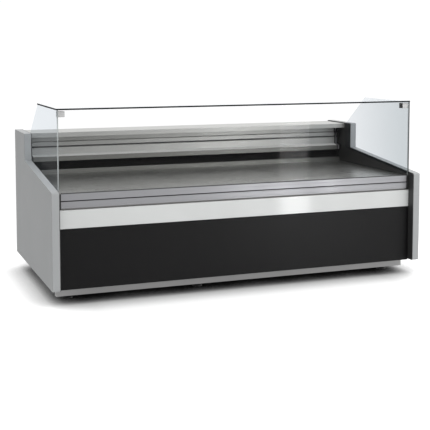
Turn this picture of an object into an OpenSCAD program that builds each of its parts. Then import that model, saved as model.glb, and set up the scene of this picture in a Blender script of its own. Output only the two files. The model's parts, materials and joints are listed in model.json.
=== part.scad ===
// Refrigerated serve-over deli case with a tilt-forward front glass.
// Origin: on the floor, in the middle of the footprint. +X runs along the case to the
// customer's right, +Y points to the staff side, +Z points up. Millimetres.

/* [Overall] */
// Clear length between the two end panels
inner_len = 2500; // [2400:10:2600]
// Thickness of each end panel, with its inner liner
end_t = 52; // [48:1:64]
// Depth of the end panels, customer side to staff side
depth = 1300; // [1290:2:1320]
// Height of the top glass above the floor
top_z = 1230; // [1215:1:1245]
// Height of the staff worktop above the floor
worktop_z = 1000; // [996:1:1006]
// Height of the levelling feet under the base
foot_h = 40; // [38:1:44]

/* [Customer front] */
// How far the front skins stand behind the noses of the end panels
front_set = 60; // [55:1:66]
// Height of the black front panel
panel_h = 379; // [376:1:380]
// Height of the white band above the front panel
band_h = 116; // [110:1:118]
// Height of the fixed aluminium rail
rail_h = 41; // [40:1:43]
// Height of the moving glass shoe above the rail
shoe_h = 42; // [40:1:46]
// How far the base strip stands behind the front skins
strip_set = 89; // [80:1:110]

/* [End panels] */
// Height of an end panel's nose at the customer side
nose_z = 722; // [718:1:730]
// Height where the sloping top meets the raised staff side
shoulder_z = 820; // [812:1:826]
// Depth of the raised staff side of an end panel
raised_d = 384; // [380:1:390]
// Corner radius of the end panel outline
end_r = 12; // [6:1:16]

/* [Glass] */
// Glass thickness
glass_t = 8; // [6:1:8]
// Depth of the top glass
top_glass_d = 619; // [600:1:640]
// Radius of the pivot pins of the front glass
pivot_r = 4; // [3.5:0.25:4.5]

/* [Deck and riser] */
// Height of the display deck
deck_z = 697; // [696:1:700]
// Distance from the staff side edge to the riser face
riser_set = 191; // [189:1:194]

/* [Storage and machine room] */
// Length of the machine room inside the right end panel
machine_len = 600; // [590:1:620]
// Wall thickness of the insulated storage box
wall_t = 40; // [36:1:42]
// Height of the storage doors
door_h = 344; // [340:1:346]

/* [Hidden] */
$fn = 48;

// Main planes
hx = inner_len / 2;
front_y = -depth / 2;
back_y = depth / 2;
skin_y = front_y + front_set;
riser_y = back_y - riser_set;
skin_x = hx - 1;

// Base
base_z1 = 105;
floor_t = 2;
strip_y = skin_y + strip_set;
rail_w = 40;
cross_w = 60;
rear_rail_y = back_y - 130;
foot_x = [-hx + 95, -268, hx - 95];
foot_y = [strip_y + 111, back_y - 200];
brace_x = 500;
foot_r = 32;
foot_gap = 4;
stem_r = 8;
stem_z1 = 80;

// Customer front, from the bottom up
panel_z0 = 100;
panel_z1 = panel_z0 + panel_h;
band_z0 = panel_z1 + 5;
band_z1 = band_z0 + band_h;
rail_z0 = band_z1 + 12;
rail_z1 = rail_z0 + rail_h;
shoe_z0 = rail_z1 + 7;
shoe_z1 = shoe_z0 + shoe_h;
rail_x = hx - 20;
sheet_t = 1.5;
tub_y0 = skin_y + 24;

// Glass
glass_y0 = skin_y + 3;
glass_y1 = glass_y0 + glass_t;
side_x1 = hx - 0.3;
side_x0 = side_x1 - glass_t;
side_lap = 14;
glass_x = side_x0 - 0.7;
top_x = hx + 1;
top_under = top_z - glass_t;
top_y1 = glass_y0 + top_glass_d;
pivot_y = skin_y + 6;
pivot_z = shoe_z0 + 6;
fit = 0.05;
block_w = 44;
block_d = 47;
block_h = 35;
block_drop = 18;

// End panels
liner_t = 3;
shoulder_y = back_y - raised_d;
end_z0 = base_z1 + 1;
end_z1 = worktop_z + 8;

// Tub and deck
deck_trays = 3;
tub_wall = 36;
tub_z0 = band_z0 + 2;
tub_floor_z = 530;
deck_t = 1.5;
deck_flange = 26;
sill_y = riser_y - 29;
duct_y = riser_y + 19;
slot_z0 = deck_z + 30;
slot_z1 = 790;
tub_rear_z = deck_z - 7;
tub_x = hx - 3;
drain_x = hx - 190;
drain_y = -300;
drain_r = 16;
drain_wall = 2.5;
drain_z0 = 60;
spigot_l = 35;
spigot_r = 15;

// Riser and staff side
lip_y = riser_y - 44;
riser_back = riser_y + 44;
worktop_y0 = back_y - 290;
worktop_lip = 33;
worktop_z0 = worktop_z - worktop_lip;
fascia_y = back_y - 13;
fascia_z0 = 488;
insul_y1 = riser_back + 57;

// Evaporator and its fans
plate_y = -60;
fan_x = [-600, 600];
fan_z = 612;
fan_r = 58;
fan_hole_r = 62;
shaft_r = 3;
coil_fins = 24;
coil_x = 1050;

// Storage box and doors
machine_x = hx - machine_len;
store_x0 = -hx + 2;
store_y0 = skin_y + 34;
store_y1 = back_y - 60;
store_z0 = base_z1 + floor_t;
store_z1 = 484;
hole_x0 = store_x0 + wall_t;
hole_x1 = machine_x - wall_t;
hole_z0 = store_z0 + wall_t;
hole_z1 = store_z1 - wall_t;
mullion = 50;
door_n = 3;
hole_w = (hole_x1 - hole_x0 - (door_n - 1) * mullion) / door_n;
door_pitch = hole_w + mullion;
door_w = door_pitch + 3.3;
door_z0 = 125;
door_y0 = store_y1 + 8;
door_y1 = back_y - 12;
door_pin_r = 3;
door_edge = 6;
pull_w = 42;
pull_h = 120;
pull_d = 22;

// Machine room
unit_x = machine_x + 300;
unit_z0 = store_z0;
cfan_y = 440;
cfan_z = 285;
cfan_r = 118;
cond_x = [unit_x - 190, unit_x + 190];
cond_y = [500, 556];
cond_z = [130, 440];

// Control panel
panel_x = machine_x + 290;
ctl_w = 190;
ctl_z = 560;
ctl_h = 60;
ctl_y1 = fascia_y + 6;
button_r = 4;
button_x = [for (i = [0:2]) panel_x - 72 + 17 * i];
rocker_x = panel_x + 66;
rocker_y = fascia_y - 1;
rocker_half = 7;
gland_x = hx - 100;
gland_z = 520;
gland_r = 5;
screw_x = [for (i = [0:5]) -hx + 60 + i * (inner_len - 120) / 5];
screw_z = worktop_z0 - 12;

// ---- helpers ----

// Block between two values on each axis
module slab(x, y, z) {
    translate([x[0], y[0], z[0]])
        cube([x[1] - x[0], y[1] - y[0], z[1] - z[0]]);
}

// [y, z] outline pushed along X between two values
module run_x(x, outline) {
    translate([x[0], 0, 0]) rotate([90, 0, 90])
        linear_extrude(x[1] - x[0]) polygon(outline);
}

// Cylinders along X, Y and Z between two values
module rod_x(x, y, z, r) {
    translate([x[0], y, z]) rotate([0, 90, 0]) cylinder(h = x[1] - x[0], r = r);
}
module rod_y(x, y, z, r) {
    translate([x, y[0], z]) rotate([-90, 0, 0]) cylinder(h = y[1] - y[0], r = r);
}
module rod_z(x, y, z, r) {
    translate([x, y, z[0]]) cylinder(h = z[1] - z[0], r = r);
}

// Pipe through a list of points, with ball elbows
module pipe(points, r) {
    for (i = [1:len(points) - 1]) {
        run = points[i] - points[i - 1];
        translate(points[i - 1])
            rotate([0, acos(run.z / norm(run)), atan2(run.y, run.x)])
                cylinder(h = norm(run), r = r);
    }
    for (i = [1:1:len(points) - 2]) translate(points[i]) sphere(r);
}

module both_sides() {
    children();
    mirror([1, 0, 0]) children();
}

function unit(v) = v / norm(v);

// Arc that rounds the corner b between a and c
function fillet(a, b, c, r, n = 6) =
    let (
        u = unit(a - b),
        v = unit(c - b),
        half = acos(u * v) / 2,
        centre = b + unit(u + v) * r / sin(half),
        p = b + u * r / tan(half) - centre,
        q = b + v * r / tan(half) - centre,
        start = atan2(p.y, p.x),
        turn = atan2(p.x * q.y - p.y * q.x, p * q)
    )
    [for (i = [0:n]) centre + r * [cos(start + turn * i / n), sin(start + turn * i / n)]];

// Outline with each corner rounded by its own radius, 0 for a sharp one
function rounded(points, radii) =
    let (n = len(points))
    [for (i = [0:n - 1])
        each radii[i] > 0
            ? fillet(points[(i + n - 1) % n], points[i], points[(i + 1) % n], radii[i])
            : [points[i]]];

function left_of(a, b) = let (d = unit(b - a)) [-d.y, d.x];

// Offset of point i of a path, mitred between its two runs
function mitre(path, i, t) =
    let (
        before = left_of(path[max(i - 1, 0)], path[max(i, 1)]),
        after = left_of(path[min(i, len(path) - 2)], path[min(i + 1, len(path) - 1)])
    )
    t * (before + after) / (1 + before * after);

// Closed outline of a folded sheet: the path, and the path set off by t to its left
function folded(path, t) =
    concat(path, [for (i = [len(path) - 1:-1:0]) path[i] + mitre(path, i, t)]);

// Height of the end panels' sloping top at y
function slope_z(y) =
    nose_z + (y - front_y) * (shoulder_z - nose_z) / (shoulder_y - front_y);

function door_x(i) = (hole_x0 - mullion / 2) + i * door_pitch - 1.65;

// ---- base ----

module base_frame() color([0.46, 0.46, 0.47]) {
    slab([-hx, hx], [strip_y, strip_y + rail_w], [foot_h, base_z1]);
    slab([-hx, hx], [rear_rail_y, rear_rail_y + rail_w], [foot_h, base_z1]);
    for (x = concat(foot_x, [brace_x]))
        difference() {
            slab([x - cross_w / 2, x + cross_w / 2],
                 [strip_y + rail_w + 0.3, rear_rail_y - 0.3], [foot_h, base_z1]);
            for (y = foot_y)
                if (x != brace_x) rod_z(x, y, [foot_h - 1, stem_z1 + 2], stem_r + fit);
        }
}

module foot(x, y) color([0.06, 0.06, 0.06]) {
    rod_z(x, y, [0, foot_h - foot_gap], foot_r);
    rod_z(x, y, [foot_h - foot_gap, stem_z1], stem_r);
}

module cabinet_floor() color([0.6, 0.61, 0.62])
    difference() {
        slab([-skin_x, skin_x], [skin_y + 8, fascia_y - 1], [base_z1, base_z1 + floor_t]);
        rod_z(drain_x, drain_y, [base_z1 - 1, base_z1 + floor_t + 1], drain_r + 2);
    }

// ---- customer front ----

module front_panel() color([0.05, 0.05, 0.05])
    run_x([-skin_x, skin_x], folded([
        [strip_y - 4, panel_z0], [skin_y, panel_z0],
        [skin_y, panel_z1], [skin_y + 20, panel_z1]], -sheet_t));

module front_band() color([0.85, 0.85, 0.85])
    run_x([-skin_x, skin_x], folded([
        [tub_y0, band_z0], [skin_y, band_z0],
        [skin_y, band_z1], [tub_y0, band_z1]], -sheet_t));

// Hollow extrusion with a tall rear lip behind the glass shoe
module glass_rail() color([0.6, 0.61, 0.64])
    difference() {
        run_x([-rail_x, rail_x], [
            [skin_y, rail_z0], [skin_y, rail_z1], [tub_y0 - 3, rail_z1],
            [tub_y0 - 3, tub_rear_z], [tub_y0, tub_rear_z], [tub_y0, rail_z0]]);
        slab([-hx, hx], [skin_y + 2.5, tub_y0 - 5.5], [rail_z0 + 2.5, rail_z1 - 2.5]);
    }

module rail_end_blocks() color([0.1, 0.1, 0.1])
    both_sides() difference() {
        slab([rail_x + 1, skin_x], [skin_y, tub_y0], [rail_z0 - 7, shoe_z1 - 1]);
        rod_x([rail_x, skin_x - 4], pivot_y, pivot_z, pivot_r);
    }

module glass_hinge_pins() color([0.7, 0.7, 0.72])
    both_sides() rod_x([rail_x - 38, skin_x - 4], pivot_y, pivot_z, pivot_r);

// Extrusion that carries the front glass and turns on the pivot pins
module glass_shoe() color([0.64, 0.64, 0.66])
    difference() {
        run_x([-rail_x, rail_x], [
            [skin_y, shoe_z0], [skin_y, shoe_z1], [glass_y0, shoe_z1],
            [glass_y0, shoe_z0 + 12], [glass_y1, shoe_z0 + 12], [glass_y1, shoe_z1],
            [skin_y + 16, shoe_z1], [skin_y + 16, shoe_z0]]);
        both_sides() rod_x([rail_x - 40, rail_x + 1], pivot_y, pivot_z, pivot_r + fit);
    }

module front_glass() color([0.8, 0.87, 0.88, 0.35])
    difference() {
        slab([-glass_x, glass_x], [glass_y0, glass_y1], [shoe_z0 + 12, top_under - 2]);
        both_sides()
            slab([rail_x - 1, hx], [glass_y0 - 1, glass_y1 + 1], [shoe_z0, shoe_z1 + 1]);
    }

// Magnetic blocks on the side glasses, which the front glass rests against when it is shut
module glass_catches() color([0.72, 0.72, 0.73])
    both_sides() {
        z1 = top_z - block_drop;
        slab([side_x0 - 0.1 - block_w, side_x0 - 0.1],
             [glass_y1 + 0.4, glass_y1 + block_d], [z1 - block_h, z1]);
    }

// ---- end panels and fixed glass ----

end_outline = rounded([
    [front_y, end_z0], [front_y, nose_z], [shoulder_y, shoulder_z],
    [shoulder_y, end_z1], [back_y, end_z1], [back_y, end_z0]],
    [end_r, end_r, 6, end_r / 2, end_r, end_r]);

module end_panel() color([0.57, 0.58, 0.58])
    run_x([hx + liner_t, hx + end_t], end_outline);

module end_liners() color([0.2, 0.2, 0.2])
    both_sides() run_x([hx, hx + liner_t], end_outline);

// Stands inside the liner, which its lower edge laps
module side_glass() color([0.8, 0.87, 0.88, 0.35])
    let (rear_y = shoulder_y + 62)
    run_x([side_x0, side_x1], [
        [glass_y0, slope_z(glass_y0) - side_lap], [glass_y0, top_under],
        [top_y1, top_under], [rear_y, worktop_z + 1], [rear_y, slope_z(rear_y) - side_lap]]);

module top_glass() color([0.8, 0.87, 0.88, 0.35])
    slab([-top_x, top_x], [glass_y0, top_y1], [top_under, top_z]);

// ---- tub, deck and air path ----

module tub_insulation() color([0.12, 0.12, 0.12])
    difference() {
        run_x([-tub_x, tub_x], [
            [tub_y0, tub_z0], [tub_y0, deck_z - deck_t],
            [tub_y0 + tub_wall, deck_z - deck_t], [tub_y0 + tub_wall, tub_floor_z],
            [duct_y + 1.5, tub_floor_z], [duct_y + 1.5, tub_rear_z],
            [riser_back + 15, tub_rear_z], [riser_back + 15, tub_z0]]);
        rod_z(drain_x, drain_y, [tub_z0 - 1, tub_floor_z + 1], drain_r);
    }

module tub_liner() color([0.7, 0.7, 0.71])
    difference() {
        run_x([-tub_x, tub_x], folded([
            [tub_y0 + tub_wall, deck_z - 12], [tub_y0 + tub_wall, tub_floor_z],
            [duct_y + 1.5, tub_floor_z], [duct_y + 1.5, slot_z1 - 1]], sheet_t));
        rod_z(drain_x, drain_y, [tub_floor_z - 1, tub_floor_z + 2], drain_r - drain_wall);
    }

// Lift-out tray with a down-turned flange on all four edges
module deck_tray(i) color([0.66, 0.66, 0.65]) {
    pitch = 2 * tub_x / deck_trays;
    x0 = -tub_x + i * pitch + 0.5;
    x1 = x0 + pitch - 1;
    y0 = tub_y0 + tub_wall + 3;
    difference() {
        union() {
            slab([x0, x1], [tub_y0, sill_y - 0.5], [deck_z - deck_t, deck_z]);
            slab([x0, x1], [y0, sill_y - 0.5], [deck_z - deck_flange, deck_z - deck_t]);
        }
        slab([x0 + deck_t, x1 - deck_t], [y0 + deck_t, sill_y - 0.5 - deck_t],
             [deck_z - deck_flange - 1, deck_z - deck_t]);
    }
}

// Upstand along the rear of the deck: the sill of the air slot
module duct_sill() color([0.62, 0.62, 0.62])
    run_x([-tub_x, tub_x], folded([
        [sill_y - 24, deck_z - deck_flange - 4], [sill_y, deck_z - deck_flange - 4],
        [sill_y, slot_z0], [sill_y + 10, slot_z0]], -sheet_t));

module air_grille() color([0.03, 0.03, 0.03])
    difference() {
        slab([-tub_x, tub_x], [sill_y + 14, sill_y + 26], [slot_z0 + 2, slot_z1 - 1]);
        for (i = [0:47])
            for (row = [0:1]) {
                pitch = (2 * tub_x - 20) / 48;
                x0 = -tub_x + 10 + i * pitch;
                z0 = slot_z0 + 7 + row * 27;
                slab([x0 + 2, x0 + pitch - 2], [sill_y, sill_y + 30], [z0, z0 + 24]);
            }
    }

module evaporator_coil() color([0.75, 0.75, 0.74]) {
    coil_y = [20, 260];
    for (i = [0:coil_fins - 1]) {
        x = -coil_x + i * 2 * coil_x / (coil_fins - 1);
        slab([x - 1, x + 1], coil_y, [tub_floor_z + 14, tub_floor_z + 134]);
    }
    for (y = [coil_y[0] + 50, coil_y[1] - 50])
        for (z = [tub_floor_z + 44, tub_floor_z + 104])
            rod_x([-coil_x - 20, coil_x + 20], y, z, 7);
}

module fan_plate() color([0.6, 0.6, 0.6])
    difference() {
        slab([-tub_x + 4, tub_x - 4], [plate_y, plate_y + 2],
             [tub_floor_z + 3, deck_z - deck_flange - 4]);
        for (x = fan_x) rod_y(x, [plate_y - 1, plate_y + 3], fan_z, fan_hole_r);
    }

// Axial fan wheel: hub with a blind bore from one side, and pitched blades
module fan_wheel(x, y, z, r, bore) {
    blades = 5;
    difference() {
        union() {
            rod_y(x, [y - 13, y + 13], z, r * 0.34);
            intersection() {
                rod_y(x, [y - 13, y + 13], z, r);
                translate([x, y, z])
                    for (i = [0:blades - 1])
                        rotate([0, i * 360 / blades, 0])
                            rotate([0, 0, 28])
                                translate([-r * 0.26, -1, r * 0.2])
                                    cube([r * 0.52, 2, r]);
            }
        }
        rod_y(x, bore, z, shaft_r + fit);
    }
}

module evaporator_fan(i) color([0.15, 0.15, 0.16])
    fan_wheel(fan_x[i], plate_y - 6, fan_z, fan_r, [plate_y - 11, plate_y + 8]);

module evaporator_motors() color([0.2, 0.2, 0.21])
    for (x = fan_x) {
        rod_y(x, [plate_y + 12, plate_y + 50], fan_z, 24);
        rod_y(x, [plate_y - 9, plate_y + 13], fan_z, shaft_r);
        for (side = [-1, 1]) {
            slab([x + side * 45 - 28, x + side * 45 + 28],
                 [plate_y + 14, plate_y + 18], [fan_z - 7, fan_z + 7]);
            slab([x + side * 71 - 4, x + side * 71 + 4],
                 [plate_y + 2, plate_y + 18], [fan_z - 7, fan_z + 7]);
        }
    }

// ---- riser, worktop and staff side ----

module rear_riser() color([0.66, 0.66, 0.65])
    run_x([-skin_x, skin_x], folded([
        [riser_back, slot_z1], [lip_y, slot_z1], [lip_y, slot_z1 + 34],
        [riser_y, slot_z1 + 44], [riser_y, slot_z1 + 94], [riser_y + 5, slot_z1 + 96],
        [riser_y + 5, slot_z1 + 105], [riser_y - 2, slot_z1 + 107],
        [riser_y - 2, slot_z1 + 135], [riser_y + 11, slot_z1 + 139],
        [riser_y + 11, worktop_z0 - 1], [riser_back, worktop_z0 - 1]], -sheet_t));

module worktop() color([0.82, 0.82, 0.82])
    run_x([-skin_x, skin_x], folded([
        [worktop_y0 + 15, worktop_z0], [worktop_y0, worktop_z0],
        [worktop_y0, worktop_z], [back_y, worktop_z],
        [back_y, worktop_z0], [back_y - 12, worktop_z0]], -sheet_t));

module rear_insulation() color([0.9, 0.85, 0.7])
    slab([-tub_x, tub_x], [riser_back + 0.5, insul_y1], [tub_rear_z + 0.5, worktop_z0 - 1]);

module rear_fascia() color([0.5, 0.5, 0.51])
    difference() {
        run_x([-skin_x, skin_x], folded([
            [insul_y1, fascia_z0], [fascia_y, fascia_z0],
            [fascia_y, worktop_z0 - 1], [insul_y1, worktop_z0 - 1]], sheet_t));
        slab([panel_x - ctl_w / 2 + 2, panel_x + ctl_w / 2 - 2], [fascia_y - 5, fascia_y + 1],
             [ctl_z - ctl_h / 2 + 2, ctl_z + ctl_h / 2 - 2]);
        rod_y(gland_x, [fascia_y - 5, fascia_y + 1], gland_z, gland_r + 3);
        for (x = screw_x) rod_y(x, [fascia_y - 5, fascia_y + 1], screw_z, 2.2);
    }

// Fascia screws, pan heads with plain shanks
module screws() color([0.75, 0.75, 0.76])
    for (x = screw_x) {
        rod_y(x, [fascia_y, fascia_y + 3], screw_z, 5);
        rod_y(x, [fascia_y - 10, fascia_y + 1], screw_z, 2);
    }

module mains_gland() color([0.08, 0.08, 0.08])
    difference() {
        union() {
            rod_y(gland_x, [fascia_y, fascia_y + 4], gland_z, gland_r + 7);
            rod_y(gland_x, [fascia_y - 16, fascia_y + 12], gland_z, gland_r + 2.9);
            rod_y(gland_x, [fascia_y - 8, fascia_y - 2], gland_z, gland_r + 7);
        }
        rod_y(gland_x, [fascia_y - 17, fascia_y + 13], gland_z, gland_r);
    }

// ---- controls ----

module controller() color([0.1, 0.1, 0.11])
    difference() {
        union() {
            slab([panel_x - ctl_w / 2, panel_x + ctl_w / 2], [fascia_y, ctl_y1],
                 [ctl_z - ctl_h / 2, ctl_z + ctl_h / 2]);
            slab([panel_x - ctl_w / 2 + 3, panel_x + ctl_w / 2 - 3],
                 [fascia_y - 30, fascia_y],
                 [ctl_z - ctl_h / 2 + 3, ctl_z + ctl_h / 2 - 3]);
        }
        slab([button_x[0] - 9, button_x[2] + 9], [fascia_y - 16, fascia_y + 2],
             [ctl_z - 10, ctl_z + 10]);
        for (x = button_x)
            rod_y(x, [fascia_y - 1, ctl_y1 + 1], ctl_z, button_r + 0.3);
        slab([panel_x - 20, panel_x + 36], [ctl_y1 - 1, ctl_y1 + 1], [ctl_z - 16, ctl_z + 16]);
        slab([rocker_x - 10.8, rocker_x + 10.8], [rocker_y - 10, ctl_y1 + 1],
             [ctl_z - 16.4, ctl_z + 16.4]);
        rod_x([rocker_x - 12.6, rocker_x + 12.6], rocker_y, ctl_z, 2 + fit);
    }

module button(i) color([0.7, 0.7, 0.7]) {
    rod_y(button_x[i], [fascia_y - 4, ctl_y1 + 2], ctl_z, button_r);
    rod_y(button_x[i], [fascia_y - 2, fascia_y + 1.5], ctl_z, button_r + 1.5);
}

// Rocker at its off position, one half-angle back from the middle
module rocker_switch() color([0.6, 0.08, 0.06])
    translate([0, rocker_y, ctl_z]) rotate([-rocker_half, 0, 0]) {
        run_x([rocker_x - 10.5, rocker_x + 10.5], [
            [-6, -13], [8, -13.5], [5, 0], [8, 13.5], [-6, 13]]);
        rod_x([rocker_x - 12.4, rocker_x + 12.4], 0, 0, 2);
    }

// ---- storage box ----

module storage_insulation() color([0.55, 0.55, 0.56])
    difference() {
        slab([store_x0, machine_x], [store_y0, store_y1], [store_z0, store_z1]);
        slab([hole_x0, hole_x1], [store_y0 + wall_t, store_y1 - 30], [hole_z0, hole_z1]);
        for (i = [0:door_n - 1]) {
            x0 = hole_x0 + i * door_pitch;
            slab([x0, x0 + hole_w], [store_y1 - 40, store_y1 + 1], [hole_z0, hole_z1]);
        }
    }

module storage_liner() color([0.72, 0.72, 0.72])
    difference() {
        slab([hole_x0, hole_x1], [store_y0 + wall_t, store_y1 - 31], [hole_z0, hole_z1]);
        slab([hole_x0 + sheet_t, hole_x1 - sheet_t],
             [store_y0 + wall_t + sheet_t, store_y1], [hole_z0 + sheet_t, hole_z1 - sheet_t]);
    }

module door_gaskets() color([0.25, 0.25, 0.26])
    for (i = [0:door_n - 1])
        difference() {
            slab([door_x(i) + 8, door_x(i) + door_w - 14], [store_y1, store_y1 + 7.2],
                 [door_z0 + 8, door_z0 + door_h - 8]);
            slab([door_x(i) + 18, door_x(i) + door_w - 24], [store_y1 - 1, store_y1 + 8],
                 [door_z0 + 18, door_z0 + door_h - 18]);
        }

module storage_door(i) color([0.68, 0.68, 0.69])
    difference() {
        slab([door_x(i), door_x(i) + door_w - 6], [door_y0, door_y1],
             [door_z0, door_z0 + door_h]);
        slab([door_x(i) + door_w - 34 - pull_w, door_x(i) + door_w - 34],
             [door_y1 - pull_d, door_y1 + 1],
             [door_z0 + (door_h - pull_h) / 2, door_z0 + (door_h + pull_h) / 2]);
        for (z = [[door_z0 - 1, door_z0 + 17],
                  [door_z0 + door_h - 17, door_z0 + door_h + 1]])
            rod_z(door_x(i) + door_edge, door_y1 - door_edge, z, door_pin_r + fit);
    }

// One bracket above and one below each door, each with its pin
module door_hinges() color([0.6, 0.6, 0.62])
    for (i = [0:door_n - 1])
        for (top = [0, 1]) {
            edge = top == 1 ? door_z0 + door_h : door_z0;
            away = top == 1 ? 1 : -1;
            x = [door_x(i) + 1, door_x(i) + 26];
            plate = [min(edge + away * 1.5, edge + away * 4.5),
                     max(edge + away * 1.5, edge + away * 4.5)];
            flange = [min(edge + away * 1.5, edge + away * 13),
                      max(edge + away * 1.5, edge + away * 13)];
            slab(x, [store_y1, door_y1 - 1], plate);
            slab(x, [store_y1, store_y1 + 3], flange);
            rod_z(door_x(i) + door_edge, door_y1 - door_edge,
                  [min(edge - away * 15, edge + away * 2),
                   max(edge - away * 15, edge + away * 2)], door_pin_r);
        }

// ---- machine room ----

module machine_grille() color([0.5, 0.5, 0.51])
    difference() {
        run_x([machine_x + 4, skin_x], folded([
            [store_y1 + 6, store_z0 + 1], [fascia_y, store_z0 + 1],
            [fascia_y, store_z1], [store_y1 + 6, store_z1]], sheet_t));
        for (i = [0:11])
            for (x = [machine_x + 40, machine_x + 310])
                slab([x, x + 250], [fascia_y - 5, fascia_y + 1],
                     [store_z0 + 50 + i * 25, store_z0 + 60 + i * 25]);
    }

module condensing_base() color([0.3, 0.3, 0.31]) {
    slab([unit_x - 240, unit_x + 250], [20, 565], [unit_z0, unit_z0 + 4]);
    for (x = [unit_x - 230, unit_x + 215])
        slab([x, x + 25], [40, 545], [unit_z0 + 4, unit_z0 + 14]);
}

module compressor() color([0.05, 0.05, 0.05]) {
    x = unit_x + 90;
    y = 180;
    z = unit_z0 + 14;
    for (a = [45:90:315])
        rod_z(x + 95 * cos(a), y + 95 * sin(a), [unit_z0 + 4, z + 2], 12);
    slab([x - 80, x + 80], [y - 80, y + 80], [z, z + 6]);
    rod_z(x, y, [z + 5, z + 160], 84);
    intersection() {
        translate([x, y, z + 110]) sphere(98);
        rod_z(x, y, [z + 159, z + 230], 84);
    }
    for (a = [45:90:315])
        translate([x, y, z + 3]) rotate([0, 0, a]) translate([60, -8, -3]) cube([46, 16, 6]);
    slab([x - 30, x + 30], [y - 112, y - 70], [z + 50, z + 120]);
}

// Finned coil in a sheet casing with a round fan shroud
module condenser_coil() color([0.62, 0.62, 0.63]) {
    for (i = [0:18]) {
        x = cond_x[0] + 4 + i * (cond_x[1] - cond_x[0] - 8) / 18;
        slab([x - 1, x + 1], [cond_y[0] + 6, cond_y[1] - 6], cond_z);
    }
    for (z = [cond_z[0] + 50 : 70 : cond_z[1] - 40])
        rod_x([cond_x[0] - 8, cond_x[1] + 8], (cond_y[0] + cond_y[1]) / 2, z, 6);
    for (x = [cond_x[0] - 3, cond_x[1] + 1])
        slab([x, x + 2], [cfan_y - 22, cond_y[1]], [unit_z0 + 4, cond_z[1] + 2]);
    difference() {
        slab([cond_x[0] - 3, cond_x[1] + 3], [cfan_y - 2, cfan_y],
             [unit_z0 + 4, cond_z[1] + 2]);
        rod_y(unit_x, [cfan_y - 3, cfan_y + 1], cfan_z, cfan_r + 5);
    }
}

module condenser_fan() color([0.12, 0.12, 0.13])
    fan_wheel(unit_x, cfan_y + 14, cfan_z, cfan_r, [cfan_y, cfan_y + 20]);

module condenser_motor() color([0.15, 0.15, 0.16]) {
    rod_y(unit_x, [cfan_y - 64, cfan_y - 12], cfan_z, 36);
    rod_y(unit_x, [cfan_y - 13, cfan_y + 18], cfan_z, shaft_r);
    for (a = [0:120:240])
        translate([unit_x, cfan_y - 8, cfan_z]) rotate([0, a, 0])
            translate([-6, -6, 20]) cube([12, 4, cfan_r - 4]);
    for (a = [0:120:240])
        translate([unit_x, cfan_y - 8, cfan_z]) rotate([0, a, 0])
            translate([-6, -6, cfan_r + 6]) cube([12, 12, 10]);
}

// Liquid and suction lines between the condensing unit and the evaporator
module refrigerant_pipes() color([0.72, 0.45, 0.3]) {
    x = cond_x[0] - 30;
    pipe([[x, 470, 200], [x, 120, 200], [x, 120, 460], [x, 60, 460]], 5);
    pipe([[x + 40, 60, 460], [x + 40, 60, 150], [x + 60, 60, 150]], 8);
    rod_z(cond_x[0] + 30, 330, [unit_z0 + 20, unit_z0 + 170], 40);
    rod_z(cond_x[0] + 30, 330, [unit_z0 + 4, unit_z0 + 21], 20);
}

module drain_pipe() color([0.35, 0.35, 0.36])
    difference() {
        union() {
            rod_z(drain_x, drain_y, [drain_z0, drain_z0 + spigot_l], spigot_r);
            rod_z(drain_x, drain_y, [drain_z0 + spigot_l, tub_floor_z], drain_r);
        }
        rod_z(drain_x, drain_y, [drain_z0 - 1, tub_floor_z + 1], drain_r - drain_wall);
    }

base_frame();
cabinet_floor();
front_panel();
front_band();
glass_rail();
rail_end_blocks();
glass_hinge_pins();
mirror([1, 0, 0]) end_panel();  // end_panel_left
end_panel();  // end_panel_right
end_liners();
mirror([1, 0, 0]) side_glass();  // side_glass_left
side_glass();  // side_glass_right
top_glass();
front_glass();
glass_shoe();
glass_catches();
tub_insulation();
tub_liner();
deck_tray(0);  // deck_tray_1
deck_tray(1);  // deck_tray_2
deck_tray(2);  // deck_tray_3
duct_sill();
evaporator_coil();
fan_plate();
evaporator_fan(0);  // evaporator_fan_1
evaporator_fan(1);  // evaporator_fan_2
evaporator_motors();
rear_riser();
air_grille();
worktop();
rear_insulation();
rear_fascia();
storage_door(0);  // storage_door_1
storage_door(1);  // storage_door_2
storage_door(2);  // storage_door_3
door_gaskets();
door_hinges();
storage_insulation();
storage_liner();
machine_grille();
condensing_base();
compressor();
condenser_coil();
condenser_fan();
condenser_motor();
refrigerant_pipes();
drain_pipe();
mains_gland();
controller();
button(0);  // button_1
button(1);  // button_2
button(2);  // button_3
rocker_switch();
screws();
foot(foot_x[0], foot_y[0]);  // foot_1
foot(foot_x[1], foot_y[0]);  // foot_2
foot(foot_x[2], foot_y[0]);  // foot_3
foot(foot_x[0], foot_y[1]);  // foot_4
foot(foot_x[1], foot_y[1]);  // foot_5
foot(foot_x[2], foot_y[1]);  // foot_6
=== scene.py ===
"""Looks of the refrigerated deli case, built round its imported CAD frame.

Everything is in metres, in the case's own frame: X runs along the case, Y points to the
staff side and Z points up. Most pieces start from the CAD node that they stand for.
"""

import json
import math

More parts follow.
